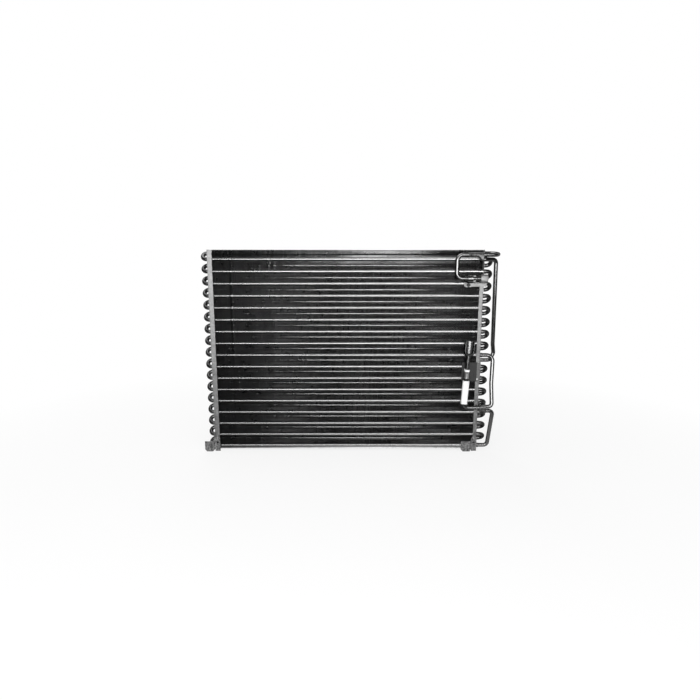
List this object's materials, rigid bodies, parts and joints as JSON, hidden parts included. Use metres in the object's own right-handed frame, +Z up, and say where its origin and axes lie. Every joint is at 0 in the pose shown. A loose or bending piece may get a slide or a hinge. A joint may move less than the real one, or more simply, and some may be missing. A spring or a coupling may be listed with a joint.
{
  "type": "air conditioning condenser",
  "caption": "Flat refrigerant condenser: serpentine tubes through upright fins between folded end plates, with feed and liquid pipes, couplings and screw feet.",
  "frame": {"origin": "the point midway between the centres of the two foot screw holes, on the front face of the feet", "axes": "+X runs along the tubes towards the side with the pipework, +Y runs from the front face to the back of the core, +Z is up"},
  "size_m": [0.7161, 0.0522, 0.4909],
  "materials": {
    "core_tubes": "satin black coating over metal tube, worn bright where it crosses the fins",
    "fins": "satin black coating on thin sheet",
    "end_plates": "dull galvanised sheet",
    "feet": "dull galvanised sheet, mottled",
    "rivets": "plain zinc plated steel",
    "pipes": "satin black coating over metal tube",
    "fittings": "dull grey machined metal",
    "cup": "black coated cup and prongs round a bright metal pilot",
    "label": "blank white paper",
    "ferrule": "dull grey crimped metal",
    "clip": "white plastic band",
    "brackets": "dark grey coated sheet"
  },
  "bodies": {
    "root": {"fins": "fins", "end_plate_left": "end_plates", "end_plate_right": "end_plates", "foot_left": "feet", "foot_right": "feet", "foot_rivets": "rivets", "inlet_fitting": "fittings", "inlet_nut": "fittings", "inlet_loop": "pipes", "distributor": "fittings", "upper_feed_pipe": "pipes", "lower_feed_pipe": "pipes", "upper_outlet_pipe": "pipes", "lower_outlet_pipe": "pipes", "outlet_tee": "fittings", "liquid_line": "pipes", "label_sleeve": "label", "ferrule": "ferrule", "riser_clip": "clip", "outlet_fitting": "cup", "inlet_bracket": "brackets", "inlet_clamp": "brackets", "clamp_screw": "rivets", "centre_bracket": "brackets", "hairpin_01": "core_tubes", "return_bend_01": "core_tubes", "hairpin_02": "core_tubes", "return_bend_02": "core_tubes", "hairpin_03": "core_tubes", "return_bend_03": "core_tubes", "hairpin_04": "core_tubes", "return_bend_04": "core_tubes", "hairpin_05": "core_tubes", "return_bend_05": "core_tubes", "hairpin_06": "core_tubes", "return_bend_06": "core_tubes", "hairpin_07": "core_tubes", "return_bend_07": "core_tubes", "hairpin_08": "core_tubes", "return_bend_08": "core_tubes", "hairpin_09": "core_tubes", "hairpin_10": "core_tubes", "return_bend_10": "core_tubes", "hairpin_11": "core_tubes", "return_bend_11": "core_tubes", "hairpin_12": "core_tubes", "return_bend_12": "core_tubes", "hairpin_13": "core_tubes", "return_bend_13": "core_tubes", "hairpin_14": "core_tubes", "return_bend_14": "core_tubes", "hairpin_15": "core_tubes", "return_bend_15": "core_tubes", "hairpin_16": "core_tubes", "return_bend_16": "core_tubes", "hairpin_17": "core_tubes"}
  },
  "joints": []
}
